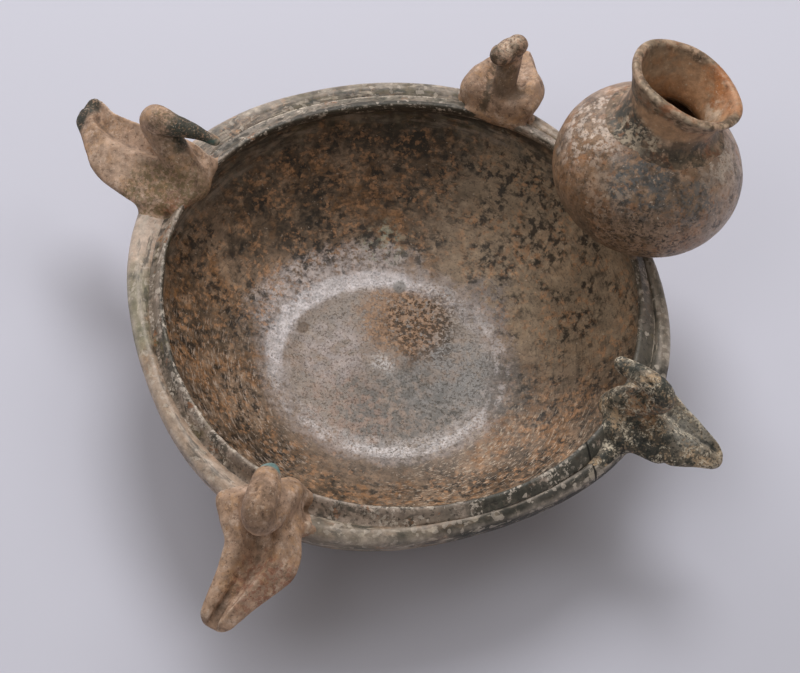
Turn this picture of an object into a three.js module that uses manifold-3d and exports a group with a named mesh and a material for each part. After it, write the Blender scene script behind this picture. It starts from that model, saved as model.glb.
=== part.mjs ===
// A handmade, burnished clay bowl with four birds and a small jug luted on its rim.
// Units are millimetres and +Z is up. The origin is the middle of the flat base. +X is the right
// hand side and +Y the far side of someone who stands at the bowl and looks into it.
import * as THREE from "three";
import Module from "manifold-3d";

const wasm = await Module();
wasm.setup();

// The bowl
const LIP_HEIGHT = 90;
const LIP_RADIUS = 118;
const COLLAR_FOOT = 81;
const BASE_RADIUS = 46;
const SHOULDER_HEIGHT = 80;
const SHOULDER_RADIUS = 135.5;
const BOWL_STEPS = 60;
// Each wave of the hand-turned outline has an order, a cosine part and a sine part
const LIP_WAVES = [[1, 1.3, -0.8], [2, 0.8, 0.7], [3, -0.5, 0.7], [4, -0.9, -1.1]];
const SHOULDER_WAVES = [[1, -1.6, 1.1], [2, 0.6, -0.9], [3, 1.2, 0.7], [4, 0, -3.2]];
// Below this height the bowl is round, and up to it the waves grow
const WAVES_FULL_HEIGHT = 60;

// The seams: a hairline gap between pieces, and the bed of luting clay under what stands on the rim
const SEAM = 0.3;
const BED = 2.2;

// The jug: an oblate globe whose axis leans outwards, and a neck that leans a little more
const JUG_CENTRE = new THREE.Vector3(115.2, 66.8, LIP_HEIGHT + 32.5);
const JUG_AXIS = new THREE.Vector3(0.125, 0.17, 0.975).normalize();
const MOUTH_AXIS = new THREE.Vector3(0.34, 0.2, 0.92).normalize();
const JUG_RADIUS = 47.6;
const JUG_HALF_HEIGHT = 39.3;
const JUG_WALL = 4.5;
const JUG_HOLE_RADIUS = 17;
const JUG_SEAT_RADIUS = 21.5;
const NECK_FOOT = 35.3;
const MOUTH_HEIGHT = 60.5;
const MOUTH_RADIUS = 28.8;
const JUG_STEPS = 28;

// The birds. Each has its bearing round the bowl in degrees and the heights of its right and left
// wing. A row of the outline is a distance out from the lip, and how far the body's right and left
// edge lie to the left of the bearing there. The rise is the height of the back above the lip at the
// lip, half way and at the tail. A point of the neck is its distance out from the lip, to the left
// and above the lip, and the neck's radius.
const BIRDS = [
  {
    name: "nw", bearing: 153.5, wings: [12, 10], rise: [-1, -3, -7],
    outline: [
      [0, -8, 14], [4, -11.5, 21.5], [12, -12, 25.5], [23, -11, 29], [34, -9, 28.5], [45, -8, 27],
      [54, -8, 23], [62, -8.5, 16.5], [71, -11.5, 9], [78, -12, 3.8], [81.5, -8, -1],
    ],
    neck: [
      [3, 4, -3, 8], [10, 3, 6, 8.4], [18, 1, 14, 8.3], [26, -0.5, 21, 8], [30, -1.5, 26, 7.6],
      [26, -1, 29.5, 7.2], [19, -2, 30, 5.8], [10, -6, 27.5, 4], [1, -9.5, 23.5, 2.2],
    ],
  },
  {
    name: "n", bearing: 71, wings: [11, 11], rise: [2, 2, -1],
    outline: [
      [1, -11, 16], [6, -17, 22.5], [13, -18.7, 24], [22, -19, 22.7], [29, -16, 19.5], [36, -9.5, 16],
      [44, -4, 11], [50, 0, 7.5],
    ],
    neck: [
      [8, 0, 1, 6.5], [9, 0, 6, 7], [13, 1, 14, 6.8], [19, 2, 22, 6.8], [23.5, 3, 29, 7.4],
      [21, 3.5, 34, 7.6], [15.5, 3.5, 34.5, 5.5],
    ],
  },
  {
    name: "sw", bearing: 249.8, wings: [12, 13], rise: [0, -4, -9],
    outline: [
      [3, -8, 7], [11, -13, 12], [18, -21, 15], [24, -26, 18], [32, -21, 22], [41, -13, 23],
      [51, -10.5, 19], [62, -9, 13.5], [74, -7.5, 8.5], [79, -5, 5],
    ],
    neck: [
      [6, 3, 2, 6.5], [9, 3, 8, 7], [18, 2.5, 13, 7.2], [27, 2.5, 17, 7.4], [33, 1, 22.5, 7.5],
      [31, -0.5, 27.5, 7.7], [23, -1.5, 28.5, 7.6], [14.5, -4, 25.5, 5.4], [7, -6, 20, 2.4],
    ],
  },
  {
    name: "se", bearing: 335.6, wings: [10, 11], rise: [-1, -4, -8],
    outline: [
      [1, -10, 10], [6, -15.5, 15.5], [14, -18, 18], [24, -17.5, 17.8], [33, -16, 14.8],
      [42, -12, 12.3], [51, -6.5, 9.3], [58, -2.5, 6], [61, 0.5, 3.5],
    ],
    neck: [
      [1, 0, -3, 7.4], [5, 0, 6, 7], [13, 0, 12.5, 6.2], [20, 0.5, 17.5, 5.6], [22.5, 1.5, 23, 5.2],
      [18, 2.5, 27, 4.8], [10, 3.5, 28, 4.4], [3, 4.5, 27, 3.8], [-2, 5.5, 25.5, 2.8],
    ],
  },
];
// The right half of a body's section, from the belly round the wing to the trough along the back, in
// shares of the half width and of the belly's depth or the wing's height
const SECTION = [
  [0, -1], [0.5, -0.86], [0.85, -0.45], [1, 0.15], [1, 0.75], [0.88, 1], [0.7, 0.78], [0.4, 0.3],
];
const TROUGH_FLOOR = 0.12;
const BELLY_DEPTH = 12;
const TAIL_DEPTH = 6;
const BODY_SECTIONS = 12;
const BLOB_STEPS = 14;
const NECK_STEPS = 8;

const CLAY = new THREE.MeshStandardMaterial({ color: 0x8a7464, roughness: 0.5 });
const PINK_CLAY = new THREE.MeshStandardMaterial({ color: 0xa98a78, roughness: 0.8 });
const JUG_CLAY = new THREE.MeshStandardMaterial({ color: 0x85705f, roughness: 0.55 });
const LUTING_CLAY = new THREE.MeshStandardMaterial({ color: 0x8d7a6c, roughness: 0.9 });

const smooth = (low, high, value) => THREE.MathUtils.smoothstep(value, low, high);
const mix = THREE.MathUtils.lerp;

// A closed skin over a row of rings with equally many points. A looped skin joins its last ring to
// its first, and any other one is closed by a fan at each end.
function skin(rings, looped = false) {
  const around = rings[0].length;
  const points = rings.flat();
  const triangles = [];
  const last = looped ? rings.length : rings.length - 1;
  for (let i = 0; i < last; i += 1) {
    const near = i * around;
    const far = ((i + 1) % rings.length) * around;
    for (let j = 0; j < around; j += 1) {
      const next = (j + 1) % around;
      triangles.push(near + j, near + next, far + next, near + j, far + next, far + j);
    }
  }
  if (!looped) {
    for (const end of [0, rings.length - 1]) {
      const middle = new THREE.Vector3();
      rings[end].forEach((point) => middle.addScaledVector(point, 1 / around));
      const centre = points.push(middle) - 1;
      for (let j = 0; j < around; j += 1) {
        const here = end * around + j;
        const next = end * around + ((j + 1) % around);
        triangles.push(...(end === 0 ? [centre, next, here] : [centre, here, next]));
      }
    }
  }
  let volume = 0;
  for (let i = 0; i < triangles.length; i += 3) {
    const [a, b, c] = [0, 1, 2].map((k) => points[triangles[i + k]]);
    volume += a.dot(new THREE.Vector3().crossVectors(b, c));
  }
  const index = Uint32Array.from(volume > 0 ? triangles : triangles.reverse());
  const vertices = Float32Array.from(points.flatMap((point) => point.toArray()));
  return new wasm.Manifold(new wasm.Mesh({ numProp: 3, vertProperties: vertices, triVerts: index }));
}

function meshOf(name, solid, material) {
  const { vertProperties, triVerts } = solid.getMesh();
  const geometry = new THREE.BufferGeometry();
  geometry.setAttribute("position", new THREE.BufferAttribute(vertProperties, 3));
  geometry.setIndex(new THREE.BufferAttribute(triVerts, 1));
  geometry.computeVertexNormals();
  const mesh = new THREE.Mesh(geometry, material);
  mesh.name = name;
  return mesh;
}

// Moves every point of a profile outwards from the clay, which lies on its left hand side
function grown(profile, looped, by) {
  return profile.map((point, i) => {
    const before = profile[looped ? (i + profile.length - 1) % profile.length : Math.max(i - 1, 0)];
    const after = profile[looped ? (i + 1) % profile.length : Math.min(i + 1, profile.length - 1)];
    const along = after.clone().sub(before).normalize();
    return new THREE.Vector2(point.x + along.y * by, point.y - along.x * by);
  });
}

// The hand-turned outline: how far the clay stands out at an angle, at a radius and height
function wave(waves, angle) {
  return waves.reduce((sum, [n, c, s]) => sum + c * Math.cos(n * angle) + s * Math.sin(n * angle), 0);
}

function bulge(radius, height, angle) {
  const onShoulder = smooth(124, 130, radius);
  const belowLip = 1 - smooth(72, COLLAR_FOOT, height);
  const out = mix(wave(LIP_WAVES, angle), wave(SHOULDER_WAVES, angle), Math.max(onShoulder, belowLip));
  return out * smooth(0, WAVES_FULL_HEIGHT, height);
}

function turned(profile, looped, by = 0) {
  const rings = grown(profile, looped, by).map((point, i) => {
    const ring = [];
    for (let step = 0; step < BOWL_STEPS; step += 1) {
      const angle = (step / BOWL_STEPS) * 2 * Math.PI;
      const radius = point.x + bulge(profile[i].x, profile[i].y, angle);
      ring.push(new THREE.Vector3(radius * Math.cos(angle), radius * Math.sin(angle), point.y));
    }
    return ring;
  });
  return skin(rings, looped);
}

const curveThrough = (points, steps) =>
  new THREE.SplineCurve(points.map(([x, y]) => new THREE.Vector2(x, y))).getPoints(steps);

// The bowl's outside from the edge of the base to the groove behind the lip, and its inside from the
// collar's seat down to the floor, which swells a little in the middle
const OUTSIDE = curveThrough([
  [BASE_RADIUS, 0], [74, 8.5], [107, 31], [129, 61], [SHOULDER_RADIUS, SHOULDER_HEIGHT],
  [130.5, 85.4], [124.8, 83],
], 14);
const INSIDE = curveThrough([
  [121, COLLAR_FOOT], [127, 71], [117, 52], [88, 24.5], [58, 11], [30, 8.8], [6, 9.8],
], 12);
const COLLAR = [
  [124.4, COLLAR_FOOT + SEAM], [122.8, 85], [121.2, 89], [119.4, LIP_HEIGHT + 0.4],
  [117.8, 89.4], [118.6, 86], [120.8, COLLAR_FOOT + SEAM],
].map(([x, y]) => new THREE.Vector2(x, y));
const COLLAR_SEAT = new THREE.Vector2(124.4, COLLAR_FOOT);
const BOWL = [...OUTSIDE, COLLAR_SEAT, ...INSIDE];

const bowlGrown = (by) => turned(BOWL, false, by);
const collarGrown = (by) => turned(COLLAR, true, by);
// The bowl as if it were filled with clay, so that nothing placed on the rim reaches inside
const PLUG = [
  [6, 70], [LIP_RADIUS + 2.5, 70], [LIP_RADIUS + 2.5, 88], [6, 88],
].map(([x, y]) => new THREE.Vector2(x, y));
const filledGrown = (by) =>
  turned([...OUTSIDE, new THREE.Vector2(6, 83)], false, by).add(collarGrown(by)).add(turned(PLUG, false));

// The jug
function jugPoint(radius, height, angle) {
  const turn = THREE.MathUtils.clamp((height - NECK_FOOT) / (MOUTH_HEIGHT - NECK_FOOT), 0, 1);
  const axis = JUG_AXIS.clone().lerp(MOUTH_AXIS, turn).normalize();
  const lean = JUG_AXIS.clone().lerp(MOUTH_AXIS, turn / 2).normalize();
  const foot = Math.min(height, NECK_FOOT);
  const centre = JUG_CENTRE.clone().addScaledVector(JUG_AXIS, foot).addScaledVector(lean, height - foot);
  const right = new THREE.Vector3(1, 0, 0).cross(axis).normalize();
  const back = axis.clone().cross(right);
  return centre.addScaledVector(right, radius * Math.sin(angle))
    .addScaledVector(back, -radius * Math.cos(angle));
}

function thrown(profile, looped) {
  const rings = profile.map((point) => {
    const ring = [];
    for (let step = 0; step < JUG_STEPS; step += 1) {
      ring.push(jugPoint(point.x, point.y, (step / JUG_STEPS) * 2 * Math.PI));
    }
    return ring;
  });
  return skin(rings, looped);
}

// Points on a globe's wall from near its bottom up to a given radius round the hole
function globe(radius, halfHeight, holeRadius, steps) {
  const end = Math.PI / 2 - Math.asin(holeRadius / radius);
  const start = -Math.PI / 2 + 0.12;
  return Array.from({ length: steps + 1 }, (_, i) => {
    const angle = mix(start, end, i / steps);
    return new THREE.Vector2(radius * Math.cos(angle), halfHeight * Math.sin(angle));
  });
}

const JUG_OUTSIDE = (by) => globe(JUG_RADIUS + by, JUG_HALF_HEIGHT + by, JUG_SEAT_RADIUS, 10);
const JUG_INSIDE = globe(JUG_RADIUS - JUG_WALL, JUG_HALF_HEIGHT - JUG_WALL, JUG_HOLE_RADIUS + 0.5, 9);
const JUG_TOP = [
  new THREE.Vector2(JUG_SEAT_RADIUS, NECK_FOOT),
  new THREE.Vector2(JUG_HOLE_RADIUS, NECK_FOOT),
];
const jugBody = thrown([...JUG_OUTSIDE(0), ...JUG_TOP, ...JUG_INSIDE.reverse()], false);
const jugGrown = (by) => thrown(JUG_OUTSIDE(by), false);
const jugNeck = thrown([
  [21.4, NECK_FOOT + SEAM], [22, 43], [24.4, 51], [27.6, 56], [MOUTH_RADIUS, 58.8],
  [26.9, MOUTH_HEIGHT], [25.1, 58.6], [20.5, 51], [17.8, 43], [JUG_HOLE_RADIUS, NECK_FOOT + SEAM],
].map(([x, y]) => new THREE.Vector2(x, y)), true);

// A blob of luting clay: an ellipsoid with its middle and half sizes along three directions
function blob(middle, directions, halfSizes) {
  const rings = [];
  for (let row = 0; row <= 6; row += 1) {
    const rise = mix(-1.4, 1.4, row / 6);
    const ring = [];
    for (let step = 0; step < BLOB_STEPS; step += 1) {
      const angle = (step / BLOB_STEPS) * 2 * Math.PI;
      const reach = [Math.cos(rise) * Math.cos(angle), Math.cos(rise) * Math.sin(angle), Math.sin(rise)];
      const point = middle.clone();
      directions.forEach((direction, k) => point.addScaledVector(direction, reach[k] * halfSizes[k]));
      ring.push(point);
    }
    rings.push(ring);
  }
  return skin(rings);
}

// The directions at a bearing: out from the bowl, to the left of that, and up
function directionsAt(bearing) {
  const angle = THREE.MathUtils.degToRad(bearing);
  const out = new THREE.Vector3(Math.cos(angle), Math.sin(angle), 0);
  return [out, new THREE.Vector3(-out.y, out.x, 0), new THREE.Vector3(0, 0, 1)];
}

function at(bird, out, left, up) {
  const [outwards, leftwards] = directionsAt(bird.bearing);
  return outwards.multiplyScalar(LIP_RADIUS + out).addScaledVector(leftwards, left)
    .setZ(LIP_HEIGHT + up);
}

const parabola = ([start, middle, end], share) =>
  (1 - share) * (1 - 2 * share) * start + 4 * share * (1 - share) * middle + share * (2 * share - 1) * end;

// The body is a boat-shaped scoop: a belly, two raised wings and a trough that fills up at both ends
function birdBody(bird, by) {
  const outline = new THREE.CatmullRomCurve3(bird.outline.map((row) => new THREE.Vector3(...row)));
  const length = outline.points.at(-1).x;
  const rings = [];
  for (let i = 0; i <= BODY_SECTIONS; i += 1) {
    const { x: out, y: rightEdge, z: leftEdge } = outline.getPoint(i / BODY_SECTIONS);
    const share = out / length;
    const halfWidth = (leftEdge - rightEdge) / 2;
    const size = mix(0.55, 1, smooth(0, 0.16, share) * (1 - smooth(0.86, 1.05, share)));
    const depth = mix(BELLY_DEPTH, TAIL_DEPTH, smooth(0.1, 0.9, share)) * size;
    const filled = 1 - smooth(0, 0.3, share) * (1 - smooth(0.8, 1, share) * 0.6);
    const height = ([x, y], wing) => {
      const level = x < 0.88 && y > 0 ? mix(y, 0.85, filled) : y;
      return y < 0 ? y * depth : level * wing * mix(1, 0.5, smooth(0.3, 1, share)) * size;
    };
    const [rightWing, leftWing] = bird.wings;
    const right = SECTION.map((point) => new THREE.Vector2(point[0] * halfWidth, height(point, rightWing)));
    const left = SECTION.slice(1)
      .map((point) => new THREE.Vector2(-point[0] * halfWidth, height(point, leftWing)));
    const floor = new THREE.Vector2(0, height([0, TROUGH_FLOOR], rightWing));
    const section = grown([...right, floor, ...left.reverse()], true, by);
    const aside = (leftEdge + rightEdge) / 2;
    const up = parabola(bird.rise, share);
    rings.push(section.map(({ x, y }) => at(bird, out + (2 * share - 1) * by, aside - x, up + y)));
  }
  return skin(rings);
}

// The neck and head are one roll of clay along a curve, drawn out to the beak
function birdNeck(bird) {
  const [, leftwards] = directionsAt(bird.bearing);
  const curve = new THREE.CatmullRomCurve3(bird.neck.map(([out, left, up]) => at(bird, out, left, up)));
  const radii = new THREE.SplineCurve(bird.neck.map(([, , , radius], i) => new THREE.Vector2(i, radius)));
  const stations = 18;
  const rings = [];
  for (let i = 0; i <= stations; i += 1) {
    const t = i / stations;
    const radius = radii.getPoint(t).y * Math.sqrt(1 - smooth(0.94, 1.01, t) ** 2 * 0.8);
    const along = curve.getTangent(t);
    const across = along.clone().cross(leftwards).normalize();
    const side = across.clone().cross(along).normalize();
    const ring = [];
    for (let step = 0; step < NECK_STEPS; step += 1) {
      const angle = (step / NECK_STEPS) * 2 * Math.PI;
      ring.push(curve.getPoint(t).addScaledVector(side, radius * Math.cos(angle))
        .addScaledVector(across, radius * Math.sin(angle)));
    }
    rings.push(ring);
  }
  return skin(rings);
}

const vessel = new THREE.Group();
const bedUnderJug = jugGrown(BED);
const rimWithBed = filledGrown(BED);
const rimWithSeam = filledGrown(SEAM);
const rimUnderBody = filledGrown(BED - SEAM);
vessel.add(meshOf("bowl_body", turned(BOWL, false).subtract(bedUnderJug), CLAY));
vessel.add(meshOf("rim_collar", turned(COLLAR, true).subtract(bedUnderJug), CLAY));
vessel.add(meshOf("jug_body", jugBody, JUG_CLAY));
vessel.add(meshOf("jug_neck", jugNeck, JUG_CLAY));

// The bed of clay below the jug wraps the rim on both sides and fills the saddle cut into it
const jugBearing = THREE.MathUtils.radToDeg(Math.atan2(JUG_CENTRE.y, JUG_CENTRE.x));
const jugBed = blob(
  JUG_CENTRE.clone().addScaledVector(JUG_AXIS, -JUG_HALF_HEIGHT - 3),
  directionsAt(jugBearing),
  [19, 30, 13],
).subtract(jugGrown(SEAM)).subtract(bowlGrown(SEAM).add(collarGrown(SEAM)).subtract(jugGrown(BED - SEAM)));
vessel.add(meshOf("jug_luting", jugBed, LUTING_CLAY));

for (const bird of BIRDS) {
  const body = birdBody(bird, 0).subtract(rimWithBed);
  const bodyWithSeam = birdBody(bird, SEAM).subtract(rimUnderBody);
  const neck = birdNeck(bird);
  // The third row of the outline is where the body stands on the shoulder
  const [, rightEdge, leftEdge] = bird.outline[2];
  const luting = blob(
    at(bird, 14, (rightEdge + leftEdge) / 2, -15.5),
    directionsAt(bird.bearing),
    [15, (leftEdge - rightEdge) / 2 + 1, 14],
  );
  vessel.add(meshOf(`bird_${bird.name}_body`, body, PINK_CLAY));
  vessel.add(meshOf(`bird_${bird.name}_neck`, neck.subtract(bodyWithSeam).subtract(rimWithBed), PINK_CLAY));
  const lutingLeft = luting.subtract(bodyWithSeam).subtract(rimWithSeam);
  vessel.add(meshOf(`bird_${bird.name}_luting`, lutingLeft, LUTING_CLAY));
}

export default vessel;
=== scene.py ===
# An ancient handmade bowl of burnished clay. Four birds and a small jug are luted on its rim.
# Distances in the tables are millimetres, as a potter would measure them, and Blender gets metres.
import math

import bpy
import numpy as np
from mathutils import Matrix, Vector


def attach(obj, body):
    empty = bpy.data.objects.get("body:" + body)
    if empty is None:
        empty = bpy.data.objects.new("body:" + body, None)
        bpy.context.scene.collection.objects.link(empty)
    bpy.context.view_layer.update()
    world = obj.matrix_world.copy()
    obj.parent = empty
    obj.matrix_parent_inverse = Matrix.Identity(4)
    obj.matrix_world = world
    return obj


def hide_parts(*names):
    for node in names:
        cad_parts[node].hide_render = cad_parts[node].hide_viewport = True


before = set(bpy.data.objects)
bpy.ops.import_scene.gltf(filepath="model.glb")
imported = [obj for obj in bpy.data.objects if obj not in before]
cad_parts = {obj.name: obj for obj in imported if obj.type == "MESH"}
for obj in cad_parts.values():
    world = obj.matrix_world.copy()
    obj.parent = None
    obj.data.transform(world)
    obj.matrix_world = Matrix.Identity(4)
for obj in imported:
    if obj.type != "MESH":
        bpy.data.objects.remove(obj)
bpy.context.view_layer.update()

MM = 0.001
scene = bpy.context.scene
scene.view_settings.view_transform = "Standard"


# ---- Studio ----
# The bowl stands on a pale grey-lilac sheet of paper and is seen from above its near side. One wide
# soft lamp behind it throws the shadow towards the camera, and the room fills the rest.
CAMERA_ELEVATION = math.radians(59.52)
CAMERA_ROLL = math.radians(6.39)
CAMERA_DISTANCE = 988.5
CAMERA_SHIFT_RIGHT = -0.16
CAMERA_SHIFT_UP = -22.6
LIP_HEIGHT = 90.0


def linear(sheet_hex):
    """An sRGB hex colour as the linear RGBA that shaders take."""
    parts = [int(sheet_hex[i:i + 2], 16) / 255 for i in (1, 3, 5)]
    return [c / 12.92 if c <= 0.04045 else ((c + 0.055) / 1.055) ** 2.4 for c in parts] + [1]


def add(tree, kind, sockets=(), **settings):
    """Adds a node with its settings. A socket takes a value, a node's first output or an output."""
    node = tree.nodes.new(kind)
    for name, value in settings.items():
        setattr(node, name, value)
    for key, value in dict(sockets).items():
        if isinstance(value, bpy.types.Node):
            value = value.outputs[0]
        if isinstance(value, bpy.types.NodeSocket):
            tree.links.new(value, node.inputs[key])
        else:
            node.inputs[key].default_value = value
    return node


back = Vector((0, -math.cos(CAMERA_ELEVATION), math.sin(CAMERA_ELEVATION)))
level = Vector((1, 0, 0))
upright = back.cross(level)
right = level * math.cos(CAMERA_ROLL) + upright * math.sin(CAMERA_ROLL)
up = upright * math.cos(CAMERA_ROLL) - level * math.sin(CAMERA_ROLL)
place = back * CAMERA_DISTANCE + right * CAMERA_SHIFT_RIGHT + up * CAMERA_SHIFT_UP
camera_data = bpy.data.cameras.new("camera")
camera_data.lens = 90
camera_data.sensor_width = 36
camera_data.sensor_fit = "HORIZONTAL"
camera = bpy.data.objects.new("camera", camera_data)
camera.matrix_world = Matrix.Translation((place + Vector((0, 0, LIP_HEIGHT))) * MM) @ Matrix(
    (right, up, back)).transposed().to_4x4()
scene.collection.objects.link(camera)
scene.camera = camera

PAPER = "#d2d2df"
paper = bpy.data.materials.new("matte_paper")
paper.use_nodes = True
shader = paper.node_tree.nodes["Principled BSDF"]
shader.inputs["Base Color"].default_value = linear(PAPER)
shader.inputs["Roughness"].default_value = 0.95
shader.inputs["Specular IOR Level"].default_value = 0.1
table_mesh = bpy.data.meshes.new("table")
table_mesh.from_pydata([(-4, -4, 0), (4, -4, 0), (4, 4, 0), (-4, 4, 0)], [], [(0, 1, 2, 3)])
table_mesh.materials.append(paper)
table = bpy.data.objects.new("table", table_mesh)
scene.collection.objects.link(table)

world = bpy.data.worlds.new("room")
scene.world = world
world.use_nodes = True
world.node_tree.nodes["Background"].inputs["Color"].default_value = linear("#fff9ef")
world.node_tree.nodes["Background"].inputs["Strength"].default_value = 0.28
# Each lamp: name, bearing and height above the horizon in degrees, and power in watts. All four
# are round soft boxes that hang two metres from the bowl and aim at its middle.
LAMPS = (
    ("window", 90, 62, 17.2),
    ("low_window", 120, 25, 12.5),
    ("side_window", 30, 62, 4.6),
    ("near_window", 225, 60, 3.4),
)
LAMP_DISTANCE = 2.0
LAMP_WIDTH = 0.9
bowl_middle = Vector((0, 0, 0.06))
for name, bearing, elevation, power in LAMPS:
    bearing, elevation = math.radians(bearing), math.radians(elevation)
    away = Vector((math.cos(bearing) * math.cos(elevation), math.sin(bearing) * math.cos(elevation),
                   math.sin(elevation)))
    lamp_data = bpy.data.lights.new(name, "AREA")
    lamp_data.shape = "DISK"
    lamp_data.size = LAMP_WIDTH
    lamp_data.energy = power
    lamp = bpy.data.objects.new(name, lamp_data)
    lamp.location = bowl_middle + away * LAMP_DISTANCE
    lamp.rotation_euler = away.to_track_quat("Z", "Y").to_euler()
    scene.collection.objects.link(lamp)


# ---- Bowl wall ----
# The deep bowl is one thick wall of clay, built up by hand without a wheel, so its outline wanders.
# It was scraped, then burnished with a pebble until it shone, and fired in an open fire that left it
# mottled brown, grey and black. Inside, a worn ring on the floor has the brightest polish, and its pale
# colour is partly painted highlight, brightest to the left and the far side. A pale spot in the middle of
# the floor is painted highlight.
OUTSIDE = [(46, 0), (74, 8.5), (107, 31), (129, 61), (135.5, 80), (130.5, 85.4), (124.8, 83)]
COLLAR_SEAT = (124.4, 81)
INSIDE = [(121, 81), (127, 71), (117, 52), (88, 24.5), (58, 11), (30, 8.8), (6, 9.8)]
# Each wave of the outline has its order, a cosine part and a sine part
LIP_WAVES = [(1, 1.3, -0.8), (2, 0.8, 0.7), (3, -0.5, 0.7), (4, -0.9, -1.1)]
SHOULDER_WAVES = [(1, -1.6, 1.1), (2, 0.6, -0.9), (3, 1.2, 0.7), (4, 0, -3.2)]
# Waves change from those of the lip to those of the shoulder between these radii, or heights
WAVES_CHANGE_RADII = (124, 130)
WAVES_CHANGE_HEIGHTS = (81, 72)
WAVES_FULL_HEIGHT = 60
WAVES_FULL_RADIUS = 10
BOWL_STEPS_ROUND = 420
BOWL_STEPS_ALONG = 200


def curve_through(points, steps):
    """A smooth row of points through the given ones, which a tight spline passes in turn."""
    points = np.asarray(points, float)
    spots = np.linspace(0, len(points) - 1, steps + 1)
    start = np.minimum(spots.astype(int), len(points) - 2)
    t = (spots - start)[:, None]
    p0, p1 = points[np.maximum(start - 1, 0)], points[start]
    p2, p3 = points[start + 1], points[np.minimum(start + 2, len(points) - 1)]
    v0, v1 = (p2 - p0) / 2, (p3 - p1) / 2
    return ((2 * p1 - 2 * p2 + v0 + v1) * t + (-3 * p1 + 3 * p2 - 2 * v0 - v1)) * t * t + v0 * t + p1


def turned_wall_tree(name, lip_waves, shoulder_waves):
    """Geometry nodes that carry a drawn profile round an upright axis, with a hand's unevenness."""
    tree = bpy.data.node_groups.new(name, "GeometryNodeTree")
    sides = tree.interface
    sides.new_socket("Geometry", in_out="OUTPUT", socket_type="NodeSocketGeometry")
    sides.new_socket("Profile", in_out="INPUT", socket_type="NodeSocketGeometry")
    sides.new_socket("Steps round", in_out="INPUT", socket_type="NodeSocketInt")
    sides.new_socket("Steps along", in_out="INPUT", socket_type="NodeSocketInt")
    sides.new_socket("Clay", in_out="INPUT", socket_type="NodeSocketMaterial")
    sides.new_socket("Smear bearing", in_out="INPUT", socket_type="NodeSocketFloat")
    given = add(tree, "NodeGroupInput")
    grid = add(tree, "GeometryNodeMeshGrid", {
        "Size X": 1.0, "Size Y": 1.0, "Vertices X": given.outputs[1], "Vertices Y": given.outputs[2]})
    on_grid = add(tree, "ShaderNodeSeparateXYZ", {0: add(tree, "GeometryNodeInputPosition")})
    angle = add(tree, "ShaderNodeMath", {0: on_grid.outputs[0], 1: 0.5}, operation="ADD")
    angle = add(tree, "ShaderNodeMath", {0: angle, 1: 2 * math.pi}, operation="MULTIPLY")
    along = add(tree, "ShaderNodeMath", {0: on_grid.outputs[1], 1: 0.5}, operation="ADD")
    line = add(tree, "GeometryNodeMeshToCurve", {0: given.outputs[0]})
    drawn = add(tree, "GeometryNodeSampleCurve", {"Curves": line, "Factor": along}, mode="FACTOR")
    drawn = add(tree, "ShaderNodeSeparateXYZ", {0: drawn.outputs["Position"]})
    radius, height = drawn.outputs[0], drawn.outputs[2]
    # The drawing's depth is the smeared clay, which is thickest at one bearing and none opposite
    smear = add(tree, "ShaderNodeMath", {0: angle, 1: given.outputs[4]}, operation="SUBTRACT")
    smear = add(tree, "ShaderNodeMath", {0: smear}, operation="COSINE")
    smear = add(tree, "ShaderNodeMapRange", {0: smear, 1: -0.85, 2: 0.1}, interpolation_type="SMOOTHSTEP")
    smear = add(tree, "ShaderNodeMath", {0: smear, 1: drawn.outputs[1]}, operation="MULTIPLY")
    sums = []
    for waves in (lip_waves, shoulder_waves):
        total = 0.0
        for order, cosine, sine in waves:
            turn = add(tree, "ShaderNodeMath", {
                0: angle, 1: float(order), 2: -math.atan2(sine, cosine)}, operation="MULTIPLY_ADD")
            turn = add(tree, "ShaderNodeMath", {0: turn}, operation="COSINE")
            total = add(tree, "ShaderNodeMath", {
                0: turn, 1: math.hypot(cosine, sine) * MM, 2: total}, operation="MULTIPLY_ADD")
        sums.append(total)
    ramps = []
    for value, (low, high) in (
            (radius, WAVES_CHANGE_RADII), (height, WAVES_CHANGE_HEIGHTS),
            (height, (0, WAVES_FULL_HEIGHT)), (radius, (0, WAVES_FULL_RADIUS))):
        ramps.append(add(tree, "ShaderNodeMapRange", {
            0: value, 1: low * MM, 2: high * MM}, interpolation_type="SMOOTHSTEP"))
    share = add(tree, "ShaderNodeMath", {0: ramps[0], 1: ramps[1]}, operation="MAXIMUM")
    bulge = add(tree, "ShaderNodeMix", {0: share, 2: sums[0], 3: sums[1]}, data_type="FLOAT")
    grown = add(tree, "ShaderNodeMath", {0: ramps[2], 1: ramps[3]}, operation="MULTIPLY")
    radius = add(tree, "ShaderNodeMath", {0: bulge, 1: grown, 2: radius}, operation="MULTIPLY_ADD")
    cosine = add(tree, "ShaderNodeMath", {0: angle}, operation="COSINE")
    sine = add(tree, "ShaderNodeMath", {0: angle}, operation="SINE")
    x = add(tree, "ShaderNodeMath", {0: radius, 1: cosine}, operation="MULTIPLY")
    y = add(tree, "ShaderNodeMath", {0: radius, 1: sine}, operation="MULTIPLY")
    height = add(tree, "ShaderNodeMath", {0: height, 1: smear}, operation="ADD")
    spot = add(tree, "ShaderNodeCombineXYZ", {0: x, 1: y, 2: height})
    wall = add(tree, "GeometryNodeSetPosition", {"Geometry": grid.outputs[0], "Position": spot})
    wall = add(tree, "GeometryNodeMergeByDistance", {0: wall, "Distance": 0.02 * MM})
    wall = add(tree, "GeometryNodeSetShadeSmooth", {0: wall})
    wall = add(tree, "GeometryNodeRealizeInstances", {0: wall})
    wall = add(tree, "GeometryNodeSetMaterial", {0: wall, "Material": given.outputs[3]})
    add(tree, "NodeGroupOutput", {0: wall})
    return tree


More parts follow.
